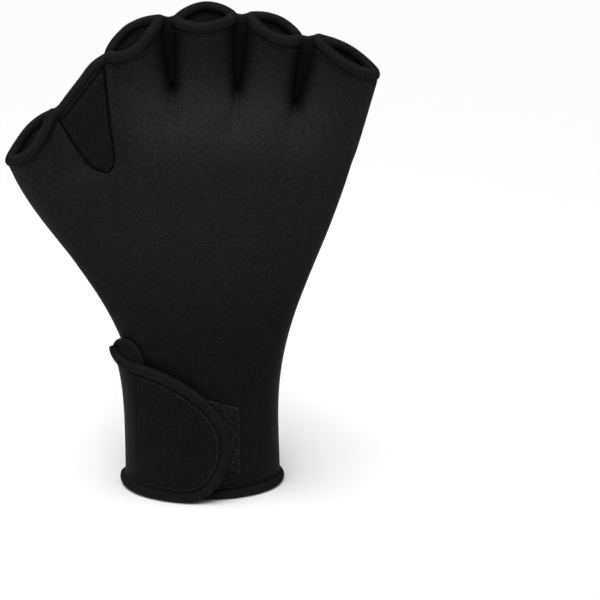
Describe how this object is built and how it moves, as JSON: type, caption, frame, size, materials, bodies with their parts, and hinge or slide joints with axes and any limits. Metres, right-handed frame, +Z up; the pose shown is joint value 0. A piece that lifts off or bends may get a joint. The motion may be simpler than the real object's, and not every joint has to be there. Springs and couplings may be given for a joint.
{
  "type": "swim glove",
  "caption": "Left-hand webbed fingerless neoprene swim glove, hollow with open thumb and finger tubes, bound edges and a wrist strap.",
  "frame": {"origin": "centre of the cuff's base, on the surface that the glove stands on", "axes": "+Z up from the cuff to the fingers, palm faces -Y, back of the hand +Y, thumb towards -X"},
  "size_m": [0.1624, 0.0526, 0.2169],
  "materials": {
    "neoprene": "fine ribbed nylon knit over neoprene, soft satin sheen",
    "tape": "folded ribbed binding tape",
    "loop_pile": "matt fuzzy loop pile"
  },
  "bodies": {
    "root": {"glove_body": "neoprene", "thumb_web": "neoprene", "web_index_middle": "neoprene", "web_middle_ring": "neoprene", "web_ring_little": "neoprene", "thumb_binding": "tape", "index_binding": "tape", "middle_binding": "tape", "ring_binding": "tape", "little_binding": "tape", "thumb_web_binding": "tape", "web_index_middle_binding": "tape", "web_middle_ring_binding": "tape", "web_ring_little_binding": "tape", "cuff_binding": "tape", "wrist_strap": "neoprene", "strap_binding": "tape", "slit_tab": "neoprene", "slit_binding": "tape", "loop_patch": "loop_pile"}
  },
  "joints": []
}
